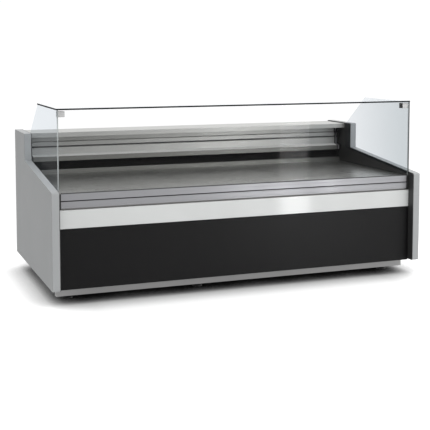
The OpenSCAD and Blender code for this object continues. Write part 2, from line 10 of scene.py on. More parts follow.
import bmesh
import bpy
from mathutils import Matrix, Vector

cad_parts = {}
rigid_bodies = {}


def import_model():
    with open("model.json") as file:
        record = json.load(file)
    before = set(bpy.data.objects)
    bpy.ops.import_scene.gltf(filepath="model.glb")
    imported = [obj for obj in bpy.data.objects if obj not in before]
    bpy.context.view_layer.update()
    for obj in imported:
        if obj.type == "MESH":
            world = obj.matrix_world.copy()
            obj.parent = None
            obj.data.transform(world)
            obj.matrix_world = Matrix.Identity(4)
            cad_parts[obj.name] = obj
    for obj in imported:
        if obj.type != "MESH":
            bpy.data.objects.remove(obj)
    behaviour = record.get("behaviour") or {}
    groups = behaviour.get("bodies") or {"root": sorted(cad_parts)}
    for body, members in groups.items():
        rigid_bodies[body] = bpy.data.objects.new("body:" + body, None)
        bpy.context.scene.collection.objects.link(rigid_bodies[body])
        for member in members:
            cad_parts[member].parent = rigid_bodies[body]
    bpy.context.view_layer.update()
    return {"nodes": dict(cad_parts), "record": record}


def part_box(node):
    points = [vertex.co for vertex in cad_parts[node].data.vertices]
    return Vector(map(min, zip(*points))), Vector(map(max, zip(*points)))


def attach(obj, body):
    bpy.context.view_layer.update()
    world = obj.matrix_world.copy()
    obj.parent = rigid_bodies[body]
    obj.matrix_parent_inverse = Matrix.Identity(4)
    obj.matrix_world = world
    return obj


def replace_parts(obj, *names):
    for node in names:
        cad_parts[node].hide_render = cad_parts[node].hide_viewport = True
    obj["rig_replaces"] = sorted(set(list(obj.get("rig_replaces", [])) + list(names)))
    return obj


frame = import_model()

MM = 0.001
scene = bpy.context.scene
SLOT = {part["node"]: part["material_slot"] for part in frame["record"]["subparts"]}
BODY = {n: body for body, nodes in frame["record"]["behaviour"]["bodies"].items() for n in nodes}


# ---- materials ----


class Shader:
    """A material's or world's node tree, with short calls for the nodes that they share."""

    def __init__(self, name, owners=bpy.data.materials):
        self.owner = owners.new(name)
        self.owner.use_nodes = True
        self.nodes = self.owner.node_tree.nodes
        self.links = self.owner.node_tree.links
        self.nodes.clear()

    def node(self, kind, values=None, **settings):
        """Adds a node. values holds constants for its inputs, or sockets to link to them."""
        made = self.nodes.new("ShaderNode" + kind)
        for name, value in settings.items():
            setattr(made, name, value)
        for key, value in (values or {}).items():
            if isinstance(value, bpy.types.NodeSocket):
                self.links.new(value, made.inputs[key])
            else:
                made.inputs[key].default_value = value
        return made

    def noise(self, scale, stretch=(1, 1, 1), detail=2.0):
        """Noise in the piece's own coordinates, scale in cells per metre."""
        place = self.node("TexCoord").outputs["Object"]
        vector = self.node("Mapping", {"Vector": place, "Scale": stretch}).outputs["Vector"]
        values = {"Vector": vector, "Scale": scale, "Detail": detail}
        return self.node("TexNoise", values).outputs["Fac"]

    def cells(self, scale):
        """Voronoi cells in the piece's own coordinates, scale in cells per metre."""
        place = self.node("TexCoord").outputs["Object"]
        return self.node("TexVoronoi", {"Vector": place, "Scale": scale})

    def spread(self, value, low, high, start=0.3, end=0.7):
        """Maps start..end of a value to low..high."""
        values = {"Value": value, "From Min": start, "From Max": end,
                  "To Min": low, "To Max": high}
        return self.node("MapRange", values).outputs["Result"]

    def maths(self, operation, a, b):
        """Result of one operation on two values."""
        return self.node("Math", {0: a, 1: b}, operation=operation).outputs[0]

    def mix(self, factor, a, b):
        """Colour a where factor is 0, colour b where it is 1."""
        values = {0: factor, 6: a, 7: b}
        return self.node("Mix", values, data_type="RGBA").outputs[2]

    def bump(self, height, distance):
        """Normal of a relief, with distance in metres for a height of 1."""
        values = {"Height": height, "Distance": distance, "Strength": 1.0}
        return self.node("Bump", values).outputs["Normal"]

    def surface(self, values):
        """Ends the tree with one principled shader."""
        shader = self.node("BsdfPrincipled", values)
        self.node("OutputMaterial", {"Surface": shader.outputs[0]})
        return self.owner


def grey(level, warmth=0.0):
    """A neutral colour, or a slightly warm or cool one."""
    return (level * (1 + warmth), level, level * (1 - warmth), 1)


def scaled(colour, factor):
    """A colour made darker or lighter."""
    return (colour[0] * factor, colour[1] * factor, colour[2] * factor, 1)


def paint(name, colour, rough, peel=0.03, coat=0.0, specular=0.5):
    """Sprayed paint: orange peel, faint clouding and a few dull specks of dust."""
    s = Shader(name)
    cloud = s.noise(2.6, detail=3)
    peel_noise = s.noise(520, detail=1)
    dust = s.noise(1400, detail=0)
    base = s.mix(s.spread(cloud, 0, 1), scaled(colour, 0.965), scaled(colour, 1.035))
    base = s.mix(s.spread(dust, 0, 0.25, 0.72, 0.8), base, grey(0.45, 0.03))
    worn = s.spread(cloud, rough - 0.03, rough + 0.04)
    roughness = s.maths("ADD", worn, s.spread(dust, 0, 0.2, 0.7, 0.8))
    return s.surface({
        "Base Color": base, "Roughness": roughness, "Specular IOR Level": specular,
        "Coat Weight": coat, "Coat Roughness": 0.08,
        "Normal": s.bump(peel_noise, peel * MM),
    })


def brushed(name, colour, rough, stretch=(5, 700, 700), depth=0.012, marks=0.05,
            metal=1.0, across=0.0):
    """Metal brushed along the axis where stretch is least, with wiped smudges and scratches.

    The polish lines run along X where across, the anisotropy, isn't 0.
    """
    s = Shader(name)
    lines = s.noise(1, stretch, detail=3)
    fine = s.noise(4.2, stretch, detail=1)
    smudge = s.noise(3.4, detail=4)
    scratch = s.noise(1, (stretch[0] * 0.4, stretch[1] * 0.11, stretch[2] * 0.11), detail=1)
    dull = scaled(colour, 0.93)
    base = s.mix(s.spread(lines, 0, 1, 0.25, 0.75), dull, scaled(colour, 1.06))
    base = s.mix(s.spread(smudge, 0, marks * 8), base, dull)
    polish = s.spread(fine, rough - 0.03, rough + 0.03)
    roughness = s.maths("ADD", polish, s.spread(smudge, -marks, marks))
    roughness = s.maths("ADD", roughness, s.spread(scratch, 0, marks, 0.66, 0.72))
    height = s.maths("ADD", lines, s.maths("MULTIPLY", fine, 0.4))
    values = {
        "Base Color": base, "Metallic": metal, "Roughness": roughness,
        "Normal": s.bump(height, depth * MM),
    }
    if across:
        facing = s.node("NewGeometry").outputs["Normal"]
        cross = s.node("VectorMath", {0: facing, 1: (1, 0, 0)}, operation="CROSS_PRODUCT")
        never_zero = {0: cross.outputs[0], 1: (0, 0.001, 0.001)}
        values["Tangent"] = s.node("VectorMath", never_zero).outputs[0]
        values["Anisotropic"] = across
    return s.surface(values)


def moulded(name, colour, rough, grain=0.02, size=900):
    """Moulded plastic with a fine leather-like grain, rubbed a little lighter in places."""
    s = Shader(name)
    pebble = s.cells(size).outputs["Distance"]
    cloud = s.noise(3.0, detail=4)
    rubbed = s.noise(60, (1, 1, 0.25), detail=4)
    base = s.mix(s.spread(cloud, 0, 1), scaled(colour, 0.97), scaled(colour, 1.03))
    base = s.mix(s.spread(rubbed, 0, 0.35, 0.62, 0.8), base, scaled(colour, 1.12))
    matt = s.spread(cloud, rough - 0.03, rough + 0.03)
    roughness = s.maths("ADD", matt, s.spread(rubbed, 0, -0.05, 0.6, 0.8))
    normal = s.bump(pebble, grain * MM)
    return s.surface({"Base Color": base, "Roughness": roughness, "Normal": normal})


def foam(name, colour):
    """Foam behind its facing: open cells and slow lumps."""
    s = Shader(name)
    pores = s.cells(700).outputs["Distance"]
    lumps = s.noise(18, detail=4)
    base = s.mix(s.spread(pores, 0, 1, 0.1, 0.6), scaled(colour, 0.8), scaled(colour, 1.05))
    height = s.maths("ADD", pores, s.maths("MULTIPLY", lumps, 3.0))
    normal = s.bump(height, 0.25 * MM)
    return s.surface({"Base Color": base, "Roughness": 0.9, "Normal": normal})


def spangled(name, colour):
    """Zinc-coated sheet with its crystal spangle."""
    s = Shader(name)
    crystal = s.cells(70)
    tone = s.node("SeparateColor", {"Color": crystal.outputs["Color"]}).outputs[0]
    base = s.mix(tone, scaled(colour, 0.8), scaled(colour, 1.1))
    return s.surface({
        "Base Color": base, "Metallic": 0.9,
        "Roughness": s.spread(tone, 0.34, 0.52, 0, 1),
        "Normal": s.bump(s.noise(300, detail=2), 0.01 * MM),
    })


def glass(name, tint, rear_tint, gloss):
    """A clear pane: a tint for what passes through, shading from tint to rear_tint towards the
    staff side as painted reflection, and a reflection that grows when grazed.
    """
    s = Shader(name)
    smudge = s.noise(7, detail=5)
    streak = s.noise(1, (3, 3, 40), detail=3)
    wiped = s.maths("MULTIPLY", s.spread(smudge, 0, 1, 0.45, 0.75), s.spread(streak, 0.2, 1))
    # Tint shading from the customer side to the staff side: painted reflection
    place = s.node("SeparateXYZ", {0: s.node("TexCoord").outputs["Object"]}).outputs["Y"]
    through = s.mix(s.spread(place, 0, 1, -0.5, 0.3), tint, rear_tint)
    through = s.mix(wiped, through, s.mix(0.006, through, grey(0.0)))
    clear = s.node("BsdfTransparent", {"Color": through}).outputs[0]
    haze = s.spread(wiped, 0.003, 0.02, 0, 1)
    mirror = s.node("BsdfAnisotropic", {"Color": grey(1.0), "Roughness": haze}).outputs[0]
    facing = s.node("LayerWeight", {"Blend": 0.5}).outputs["Facing"]
    grazing = s.maths("MULTIPLY", s.maths("POWER", facing, 5.0), gloss)
    both = s.node("MixShader", {0: s.maths("ADD", grazing, 0.002), 1: clear, 2: mirror})
    s.node("OutputMaterial", {"Surface": both.outputs[0]})
    return s.owner


def ground_edge(name, colour, rough):
    """Ground and polished edge of a pane, with the fine lines of the wheel."""
    s = Shader(name)
    lines = s.noise(1, (900, 900, 900), detail=2)
    depth = s.noise(9, detail=2)
    base = s.mix(s.spread(depth, 0, 1), scaled(colour, 0.75), scaled(colour, 1.25))
    return s.surface({
        "Base Color": base, "Roughness": s.spread(lines, rough - 0.08, rough + 0.1),
        "Specular IOR Level": 0.06, "Normal": s.bump(lines, 0.01 * MM),
    })


MATERIAL = {
    "frame_steel": paint("frame_steel", grey(0.4, 0.003), 0.42),
    "zinc_sheet": spangled("zinc_sheet", grey(0.5, -0.01)),
    "panel_black": paint("panel_black", (0.004, 0.004, 0.0043, 1), 0.36, specular=0.2),
    "band_white": paint("band_white", (0.48, 0.49, 0.485, 1), 0.3, coat=0.5),
    "aluminium": brushed("aluminium", (0.34, 0.342, 0.357, 1), 0.36, (3, 900, 900), 0.006,
                         metal=0.7),
    "black_plastic": moulded("black_plastic", grey(0.018), 0.5),
    "steel": brushed("steel", grey(0.6), 0.3, (300, 300, 300)),
    "end_grey": moulded("end_grey", (0.28, 0.288, 0.291, 1), 0.4, 0.015, 1100),
    "liner_dark": moulded("liner_dark", grey(0.035), 0.42, 0.012, 1100),
    "clip_metal": brushed("clip_metal", grey(0.5), 0.34, (400, 400, 400)),
    "foam": foam("foam", grey(0.4, 0.02)),
    "stainless": brushed("stainless", (0.44, 0.442, 0.43, 1), 0.42, marks=0.02, metal=0.7,
                         across=0.5),
    # deck_steel and sill_steel are darker copies of stainless: painted shade for the back of the
    # deck and the sill under the air slot. deck_steel is also smoother and more metallic
    "deck_steel": brushed("deck_steel", (0.36, 0.362, 0.35, 1), 0.28, marks=0.01, metal=0.93,
                          across=0.2),
    "sill_steel": brushed("sill_steel", (0.19, 0.191, 0.18, 1), 0.42, marks=0.02, metal=0.7,
                          across=0.5),
    # ledge_steel: a pale, matt copy of the steel, painted light for the riser's ledge
    "ledge_steel": brushed("ledge_steel", (0.66, 0.662, 0.65, 1), 0.6, marks=0.02, metal=0.2),
    "coil_aluminium": brushed("coil_aluminium", grey(0.6), 0.4, (200, 20, 200)),
    "fan_plastic": moulded("fan_plastic", grey(0.02), 0.45),
    "motor_black": paint("motor_black", grey(0.015), 0.4),
    "fascia_grey": paint("fascia_grey", (0.30, 0.305, 0.31, 1), 0.45, 0.05),
    "gasket_grey": moulded("gasket_grey", grey(0.05), 0.7, 0.02, 500),
    "copper": brushed("copper", (0.72, 0.33, 0.19, 1), 0.3, (120, 120, 120)),
    "drain_plastic": moulded("drain_plastic", grey(0.12), 0.45),
    "button_grey": moulded("button_grey", grey(0.45), 0.35),
    "rocker_red": moulded("rocker_red", (0.42, 0.015, 0.01, 1), 0.22, 0.004),
    "foot_black": moulded("foot_black", grey(0.016), 0.6, 0.04, 500),
    # edge_dark and edge_pale are one ground glass edge: a painted shaded copy and a painted lit
    # copy
    "edge_dark": ground_edge("edge_dark", (0.006, 0.008, 0.009, 1), 0.5),
    "edge_pale": ground_edge("edge_pale", (0.3, 0.32, 0.32, 1), 0.35),
    "plate": brushed("plate", grey(0.46), 0.45, (400, 400, 400), metal=0.3),
    "lens": moulded("lens", (0.012, 0.008, 0.008, 1), 0.1, 0.002, 300),
    "segment": moulded("segment", (0.16, 0.02, 0.015, 1), 0.35, 0.004, 900),
}

# Each pane: tint at the customer side and at the staff side, gloss, the material of the edges
# that show as lines, and those edges by axis and direction. Apart from a faint blue of the glass,
# the tints differ between panes and sides as painted reflection and shade, and the edges are
# painted lit or painted shaded
LEFT, RIGHT, FRONT, TOP = (0, -1), (0, 1), (1, -1), (2, 1)
PANES = {
    "front_glass": (grey(0.997), grey(0.997), 0.08, "edge_pale", (LEFT, RIGHT, TOP)),
    "top_glass": ((0.975, 0.982, 0.99, 1), (0.975, 0.982, 0.99, 1), 0.2,
                  "edge_dark", (FRONT, LEFT)),
    "side_glass_left": ((0.89, 0.908, 0.925, 1), (0.9, 0.92, 0.935, 1), 0.06,
                        "edge_pale", (FRONT,)),
    "side_glass_right": ((0.77, 0.795, 0.81, 1), (0.9, 0.912, 0.925, 1), 0.1,
                         "edge_dark", (FRONT,)),
}


# ---- pieces ----


def add_piece(name, bm, materials, like, replaces=False):
    """Makes a piece of a bmesh. It rides with the CAD node like."""
    mesh = bpy.data.meshes.new(name)
    bm.normal_update()
    bm.to_mesh(mesh)
    bm.free()
    for material in materials:
        mesh.materials.append(material)
    for face in mesh.polygons:
        face.use_smooth = True
    piece = bpy.data.objects.new(name, mesh)
    scene.collection.objects.link(piece)
    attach(piece, BODY[like])
    if replaces:
        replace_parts(piece, like)
    return piece


def soften(piece, width, segments=3, angle=30, edge_index=-1):
    """Rounds the piece's sharp edges and keeps its flats flat in shading."""
    bevel = piece.modifiers.new("rounding", "BEVEL")
    bevel.width = width
    bevel.segments = segments
    bevel.limit_method = "ANGLE"
    bevel.angle_limit = math.radians(angle)
    bevel.harden_normals = True
    bevel.material = edge_index


def solid_of(node):
    """The CAD node's mesh as a bmesh, with shared corners joined and flat faces whole."""
    source = frame["nodes"][node].data
    copy = bpy.data.meshes.new(node + "_copy")
    corners = [vertex.co for vertex in source.vertices]
    copy.from_pydata(corners, [], [list(polygon.vertices) for polygon in source.polygons])
    bm = bmesh.new()
    bm.from_mesh(copy)
    bpy.data.meshes.remove(copy)
    bmesh.ops.remove_doubles(bm, verts=bm.verts, dist=0.01 * MM)
    bmesh.ops.dissolve_limit(bm, angle_limit=math.radians(0.4), verts=bm.verts, edges=bm.edges)
    return bm


def add_refined(node, width, segments):
    """A piece that stands for a CAD node, with its edges rounded."""
    material = MATERIAL[PAINTED_SHADE_STEEL.get(node, SLOT[node])]
    piece = add_piece(node + ".fine", solid_of(node), [material], node, replaces=True)
    soften(piece, width * MM, segments)


def add_pane(node, tint, rear_tint, gloss, edge, lines):
    """A glass pane with arrised edges. lines holds the edges that show."""
    bm = solid_of(node)
    bm.normal_update()
    for face in bm.faces:
        for along, way in lines:
            if face.normal[along] * way > 0.9:
                face.material_index = 1
    materials = [glass(node, tint, rear_tint, gloss), MATERIAL[edge]]
    piece = add_piece(node + ".fine", bm, materials, node, replaces=True)
    soften(piece, 0.4 * MM, 2, edge_index=0)


def box_mm(node):
    """Lowest and highest corners of a CAD node at rest, in millimetres."""
    low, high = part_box(node)
    return Vector(low) / MM, Vector(high) / MM


def joined(parts):
    """One bmesh, in metres, from several made in millimetres."""
    whole = bmesh.new()
    for part in parts:
        mesh = bpy.data.meshes.new("part")
        bmesh.ops.recalc_face_normals(part, faces=part.faces)
        part.to_mesh(mesh)
        part.free()
        whole.from_mesh(mesh)
        bpy.data.meshes.remove(mesh)
    bmesh.ops.scale(whole, vec=(MM, MM, MM), verts=whole.verts)
    return whole


def loft(rings, loop=False):
    """Skin over rings of points, all with as many points, capped unless it loops back."""
    bm = bmesh.new()
    rows = [[bm.verts.new(point) for point in ring] for ring in rings]
    count = len(rows[0])
    pairs = list(zip(rows, rows[1:] + rows[:1]))
    for low, high in pairs if loop else pairs[:-1]:
        for i in range(count):
            j = (i + 1) % count
            bm.faces.new((low[i], low[j], high[j], high[i]))
    if not loop:
        bm.faces.new(rows[0])
        bm.faces.new(rows[-1])
    return bm


def prism(outline, x0, x1):
    """Length of an outline of (y, z) points along X."""
    return loft([[(x, y, z) for y, z in outline] for x in (x0, x1)])


def block(low, high):
    """Box between its lowest and highest corners."""
    (x0, y0, z0), (x1, y1, z1) = low, high
    return prism([(y0, z0), (y1, z0), (y1, z1), (y0, z1)], x0, x1)


def lathe(profile, centre, axis, sides=48, loop=False):
    """Turned solid. profile holds (distance along the axis, radius), and "hex" for flat sides."""
    turn = Vector(axis).to_track_quat("Z", "Y").to_matrix()
    rings = []
    for along, radius, *shape in profile:
        ring = []
        for i in range(sides):
            angle = 2 * math.pi * i / sides
            r = radius
            if shape:
                r = radius / math.cos(angle % (math.pi / 3) - math.pi / 6)
            point = Vector((r * math.cos(angle), r * math.sin(angle), along))
            ring.append(Vector(centre) + turn @ point)
        rings.append(ring)
    return loft(rings, loop)


def thread(start, end, radius, pitch, depth):
    """Profile of a rolled thread between two places along a turned piece."""
    turns = int((end - start) / pitch)
    profile = []
    for i in range(turns):
        at = start + i * pitch
        profile += [(at, radius - depth), (at + pitch * 0.45, radius), (at + pitch * 0.6, radius)]
    return profile + [(end, radius - depth)]


def frame_ring(x, z, width, height, y, corner=3.0, steps=5):
    """Points of a rounded rectangle that faces the staff side."""
    points = []
    for quarter, (sx, sz) in enumerate(((1, 1), (-1, 1), (-1, -1), (1, -1))):
        for i in range(steps + 1):
            angle = math.pi / 2 * (quarter + i / steps)
            points.append((x + sx * (width / 2 - corner) + corner * math.cos(angle), y,
                           z + sz * (height / 2 - corner) + corner * math.sin(angle)))
    return points


def groove(bm, y_face, z, half=1.2, depth=0.8):
    """Cuts a shallow V along X into the face of a profile at y_face. Everything in millimetres."""
    for level in (z - half, z, z + half):
        geometry = bm.verts[:] + bm.edges[:] + bm.faces[:]
        bmesh.ops.bisect_plane(bm, geom=geometry, plane_co=(0, 0, level * MM), plane_no=(0, 0, 1))
    for vert in bm.verts:
        if abs(vert.co.y - y_face * MM) < 0.02 * MM and abs(vert.co.z - z * MM) < 0.02 * MM:
            vert.co.y += depth * MM


# Edge radius in millimetres and its steps, for each node whose own shape is right
ROUNDING = {
    "end_panel_left": (3, 4), "end_panel_right": (3, 4), "end_liners": (0.7, 2),
    "front_panel": (0.6, 2), "front_band": (0.6, 2), "rail_end_blocks": (1.5, 3),
    "worktop": (0.6, 2), "duct_sill": (0.6, 2),
    "deck_tray_1": (0.6, 2), "deck_tray_2": (0.6, 2), "deck_tray_3": (0.6, 2),
    "base_frame": (2, 3),
    "storage_door_1": (2.5, 4), "storage_door_2": (2.5, 4), "storage_door_3": (2.5, 4),
    "door_hinges": (0.5, 2), "rear_fascia": (0.5, 2), "machine_grille": (0.5, 2),
    "controller": (0.8, 2), "rocker_switch": (0.8, 3),
    "door_gaskets": (1.5, 3), "storage_liner": (0.5, 2), "storage_insulation": (1, 2),
    "condensing_base": (1, 2), "cabinet_floor": (0.5, 2), "compressor": (1, 2),
    "condenser_motor": (1, 2), "evaporator_motors": (0.8, 2),
    "evaporator_fan_1": (0.6, 2), "evaporator_fan_2": (0.6, 2), "condenser_fan": (0.6, 2),
    "fan_plate": (0.5, 2), "drain_pipe": (0.6, 2),
}
# Nodes of the stainless slot given darker copies of it: painted shade on the deck and on the sill
# under the air slot
PAINTED_SHADE_STEEL = {"deck_tray_1": "deck_steel", "deck_tray_2": "deck_steel", "deck_tray_3": "deck_steel",
          "duct_sill": "sill_steel"}


def add_air_grille(cell=9.0, wall=0.5, border=3.0):
    """Honeycomb of the air outlet in a plain frame."""
    low, high = box_mm("air_grille")
    corner = cell / math.sqrt(3)
    bm = bmesh.new()
    known = {}

    def vert(x, z):
        """Corner that the cells round it share."""
        key = (round(x * 50), round(z * 50))
        if key not in known:
            known[key] = bm.verts.new((x, low.y, z))
        return known[key]

    row = 0
    z = low.z + border + corner * 0.6
    while z < high.z - border:
        x = low.x + border + cell * (0.5 if row % 2 else 0.2)
        while x < high.x - border:
            bm.faces.new([vert(x + corner * math.sin(math.radians(60 * i)),
                               z + corner * math.cos(math.radians(60 * i))) for i in range(6)])
            x += cell
        z += corner * 1.5
        row += 1
    bmesh.ops.recalc_face_normals(bm, faces=bm.faces)
    holes = bm.faces[:]
    bmesh.ops.inset_individual(bm, faces=holes, thickness=wall / 2)
    bmesh.ops.delete(bm, geom=holes, context="FACES")
    for point in bm.verts:
        point.co.x = min(max(point.co.x, low.x + 1), high.x - 1)
        point.co.z = min(max(point.co.z, low.z + 1), high.z - 1)
    extruded = bmesh.ops.extrude_face_region(bm, geom=bm.faces[:])
    moved = [g for g in extruded["geom"] if isinstance(g, bmesh.types.BMVert)]
    bmesh.ops.translate(bm, verts=moved, vec=(0, high.y - low.y - 0.4, 0))
    sides = [
        block(low, (high.x, high.y, low.z + border)), block((low.x, low.y, high.z - border), high),
        block((low.x, low.y, low.z + border), (low.x + border, high.y, high.z - border)),
        block((high.x - border, low.y, low.z + border), (high.x, high.y, high.z - border)),
    ]
    whole = joined([bm] + sides)
    add_piece("air_grille.fine", whole, [MATERIAL["black_plastic"]], "air_grille", replaces=True)


def add_riser(cap=36.0, strip=(27.0, 16.0), lip=32.0):
    """Folded riser. Its lower lip gets the dark sill steel as painted shade, and the ledge over it
    a pale steel as painted light.

    Each end has a dark moulded cap with a bright upright strip.
    """
    bm = solid_of("rear_riser")
    low, high = box_mm("rear_riser")
    for side in (-1, 1):
        for inset in (cap, *strip):
            geometry = bm.verts[:] + bm.edges[:] + bm.faces[:]
            place = (side * (high.x - inset) * MM, 0, 0)
            bmesh.ops.bisect_plane(bm, geom=geometry, plane_co=place, plane_no=(1, 0, 0))
    for face in bm.faces:
        inset = high.x - abs(face.calc_center_median().x) / MM
        height = face.calc_center_median().z / MM - low.z
        if inset < cap:
            face.material_index = 2 if strip[1] < inset < strip[0] else 1
        # Lower lip's front faces: the dark sill steel, painted shade where the lip faces forward
        # and down
        elif height < lip and face.normal.y < -0.7:
            face.material_index = 3
        # Ledge's upward faces: the pale ledge steel, painted light
        elif height < 2 * lip and face.normal.z > 0.3:
            face.material_index = 4
    names = ("stainless", "black_plastic", "aluminium", "sill_steel", "ledge_steel")
    materials = [MATERIAL[name] for name in names]
    piece = add_piece("rear_riser.fine", bm, materials, "rear_riser", replaces=True)
    soften(piece, 0.6 * MM, 2)
    bead = joined([block((low.x + cap, low.y + 45.4, low.z + 97.2),
                         (high.x - cap, low.y + 48.6, low.z + 104.2))])
    soften(add_piece("riser_bead", bead, [MATERIAL["gasket_grey"]], "rear_riser"), 0.8 * MM, 3)


def add_tub_liner():
    """Tub liner, with the rear wall of the air duct behind the deck coloured matt black: painted
    shade for the dark duct.
    """
    bm = solid_of("tub_liner")
    back = box_mm("tub_liner")[1].y
    for face in bm.faces:
        # Faces at the back of the duct: matt black, painted shade
        if face.calc_center_median().y / MM > back - 3:
            face.material_index = 1
    materials = [MATERIAL["stainless"], MATERIAL["motor_black"]]
    soften(add_piece("tub_liner.fine", bm, materials, "tub_liner", replaces=True), 0.5 * MM, 2)


def add_profile(node, grooves):
    """Aluminium profile with fine lines along its front face."""
    bm = solid_of(node)
    low = box_mm(node)[0]
    for up in grooves:
        groove(bm, low.y, low.z + up)
    piece = add_piece(node + ".fine", bm, [MATERIAL["aluminium"]], node, replaces=True)
    soften(piece, 0.9 * MM, 3)


def add_seals():
    """Rubber beads where the glass enters the shoe, and a dark strip in the gap under it: painted
    shade that darkens the gap.
    """
    low, high = box_mm("glass_shoe")
    pane_low, pane_high = box_mm("front_glass")
    top = high.z
    front = [(low.y + 0.4, top), (low.y + 0.5, top + 2), (low.y + 1.2, top + 4),
             (pane_low.y - 0.9, top + 5), (pane_low.y - 0.1, top + 4.6), (pane_low.y - 0.1, top)]
    rear = [(pane_high.y + 0.1, top), (pane_high.y + 0.1, top + 4.6), (pane_high.y + 1, top + 5),
            (high.y - 2, top + 3.4), (high.y - 0.8, top + 1.6), (high.y - 0.5, top)]
    beads = joined([prism(front, low.x + 1, high.x - 1), prism(rear, low.x + 1, high.x - 1)])
    soften(add_piece("glass_seal", beads, [MATERIAL["gasket_grey"]], "glass_shoe"), 0.5 * MM, 3)
    # The strip in the gap is painted shade: it makes the gap under the shoe read dark
    rail_low, rail_high = box_mm("glass_rail")
    z0 = low.z - 6.9
    strip = [(low.y + 3, z0), (low.y + 4, z0 + 3.2), (low.y + 5, z0 + 3.8),
             (rail_high.y - 5.5, z0 + 3.8), (rail_high.y - 4, z0)]
    seal = joined([prism(strip, rail_low.x + 1, rail_high.x - 1)])
    soften(add_piece("rail_gap_shade_strip", seal, [MATERIAL["black_plastic"]], "glass_rail"), 0.4 * MM, 2)


def add_edge_trim(drop=9.6, thick=1.5):
    """Black edge strips on the front and left edges of the top glass: painted shade, for the dark
    look of those edges.
    """
    low, high = box_mm("top_glass")
    front = block((low.x - thick, low.y - thick, high.z - drop), (high.x, low.y - 0.02, high.z))
    side = block((low.x - thick, low.y, high.z - drop), (low.x - 0.02, high.y, high.z))
    trim = joined([front, side])
    soften(add_piece("top_edge_shade_strips", trim, [MATERIAL["edge_dark"]], "top_glass"), 0.3 * MM, 2)


def add_catches():
    """Stop blocks: dark housings, with the face that meets the front glass coloured as a bright
    plate and the outward faces mid grey: painted light on the lit faces, the inward faces left
    dark as painted shade.
    """
    bm = solid_of("glass_catches")
    bm.normal_update()
    for face in bm.faces:
        # Faces coloured by how the light falls on them: painted light and painted shade
        outward = face.normal.x * face.calc_center_median().x > 0
        if face.normal.y < -0.9:
            face.material_index = 1
        elif abs(face.normal.x) > 0.9 and outward:
            face.material_index = 2
    materials = [MATERIAL["fan_plastic"], MATERIAL["plate"], MATERIAL["button_grey"]]
    piece = add_piece("glass_catches.fine", bm, materials, "glass_catches", replaces=True)
    soften(piece, 1.2 * MM, 3)


def add_feet():
    """Levelling feet: a spread base, a hexagon collar, a washer and a threaded stem."""
    for node in sorted(n for n in SLOT if n.startswith("foot_")):
        low, high = box_mm(node)
        centre = ((low.x + high.x) / 2, (low.y + high.y) / 2, 0)
        base = [(0, 29), (0.6, 30.8), (2, 32), (6, 32), (7.6, 31.4), (8.6, 29.6), (9.4, 27),
                (14, 21.5), (20, 17), (23, 16)]
        collar = [(23.2, 14.5, "hex"), (24, 15.4, "hex"), (33.4, 15.4, "hex"), (34.2, 14.5, "hex")]
        washer = [(34.3, 12.8), (34.6, 13.2), (35.7, 13.2), (36, 12.8), (36.02, 7)]
        stem = thread(36.5, high.z, 7.95, 1.75, 0.9)
        bm = joined([lathe(base + collar + washer + stem, centre, (0, 0, 1))])
        add_piece(node + ".fine", bm, [MATERIAL["foot_black"]], node, replaces=True)


def add_fascia_screws():
    """Domed screws with a hexagon socket, in a row along the top of the rear fascia."""
    low, high = box_mm("screws")
    z = (low.z + high.z) / 2
    count = 6
    span = (high.x - low.x - 10) / (count - 1)
    profile = [(0, 1), (1, 2), (9.8, 2), (10, 4.6), (10.3, 5), (11.2, 5), (12, 4.6), (12.7, 3.6),
               (13, 2.6), (12.95, 1.75, "hex"), (11.0, 1.65, "hex")]
    heads = [lathe(profile, (low.x + 5 + i * span, low.y, z), (0, 1, 0)) for i in range(count)]
    add_piece("screws.fine", joined(heads), [MATERIAL["steel"]], "screws", replaces=True)


def add_gland():
    """Cable gland: clamped flange, domed compression nut with ribs, and its rubber bush."""
    low, high = box_mm("mains_gland")
    centre = ((low.x + high.x) / 2, low.y, (low.z + high.z) / 2)
    outer = [(0, 6.6), *thread(0.6, 7.6, 7.8, 1.5, 0.7), (8, 11, "hex"), (8.8, 11.9, "hex"),
             (13.2, 11.9, "hex"), (14, 11, "hex"), (14.2, 7.4), (15.9, 7.4), (16, 11.3),
             (16.4, 11.9), (19.2, 11.9), (20, 11.2), (20.2, 7.4), (20.5, 7.1, "hex"),
             (25, 7.0, "hex"), (26.4, 6.9), (27.6, 6.3), (28, 5.6), (27.9, 5.05), (0, 5.05)]
    body = joined([lathe(outer, centre, (0, 1, 0), 60, loop=True)])
    add_piece("mains_gland.fine", body, [MATERIAL["black_plastic"]], "mains_gland", replaces=True)
    bush = [(15, 4.95), (26.8, 4.95), (27.3, 4.6), (27.3, 3.9), (26.6, 3.5), (15, 3.5)]
    ring = joined([lathe(bush, centre, (0, 1, 0), 48, loop=True)])
    add_piece("gland_bush", ring, [MATERIAL["gasket_grey"]], "mains_gland")


